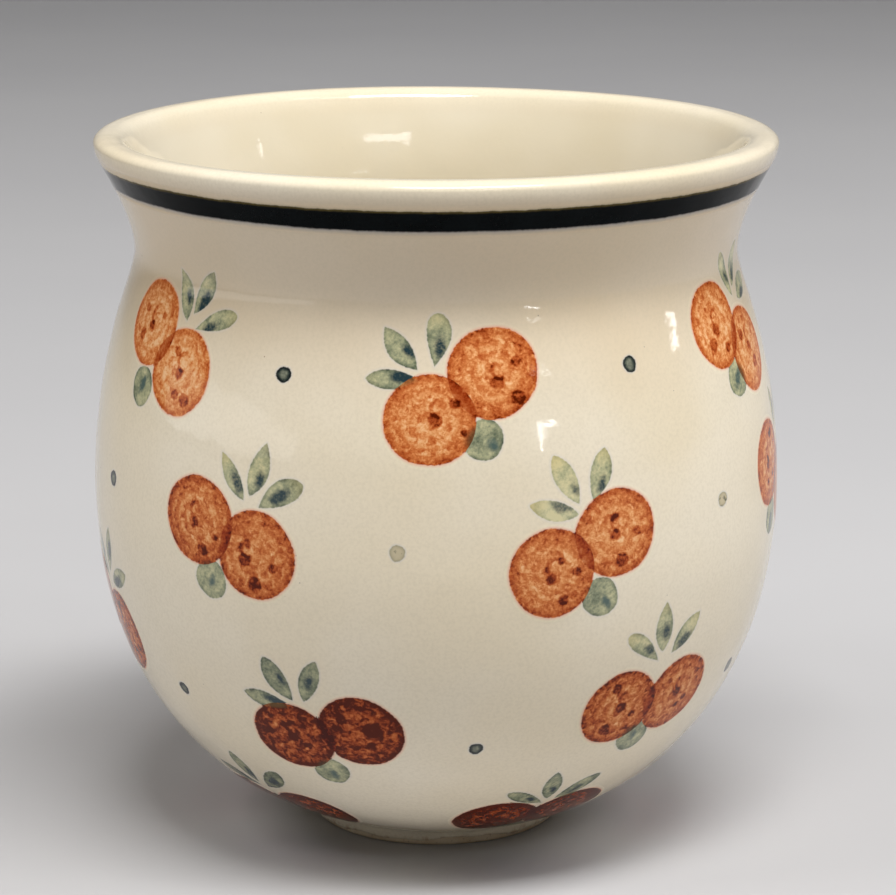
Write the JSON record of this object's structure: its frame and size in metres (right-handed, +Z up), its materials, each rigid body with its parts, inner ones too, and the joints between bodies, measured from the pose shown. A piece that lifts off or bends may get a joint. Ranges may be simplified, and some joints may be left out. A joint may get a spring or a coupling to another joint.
{
  "type": "round-bellied stoneware mug",
  "caption": "Round-bellied stoneware mug with a flared lip, a turned foot, a strap handle and painted berry sprays on a cream glaze; it holds a hot drink.",
  "frame": {"origin": "centre of the foot's flat rim, on the surface that the mug stands on", "axes": "+Z up along the cup's axis, +Y towards the handle, +X to the right when the handle points away"},
  "size_m": [0.0932, 0.1237, 0.095],
  "materials": {
    "clay": "bare fired stoneware, matt and slightly sandy",
    "cream_glaze": "glossy warm cream glaze with fine orange peel and small iron specks",
    "band_green": "black-green brushed band under a glossy glaze",
    "berry_rust": "sponge-printed rust orange with darker rims and brown spots under a glossy glaze",
    "leaf_green": "sponge-printed grey-green with teal blotches under a glossy glaze",
    "dot_green": "dark green dots with paler middles under a glossy glaze"
  },
  "bodies": {
    "root": {"cup_body": "clay", "foot_ring": "clay", "body_glaze": "cream_glaze", "base_glaze": "cream_glaze", "handle": "clay", "handle_glaze": "cream_glaze", "upper_slip_joint": "clay", "lower_slip_joint": "clay", "rim_band": "band_green", "left_berries": "berry_rust", "right_berries": "berry_rust", "left_leaves": "leaf_green", "middle_leaves": "leaf_green", "right_leaves": "leaf_green", "round_leaves": "leaf_green", "dots": "dot_green"}
  },
  "joints": []
}
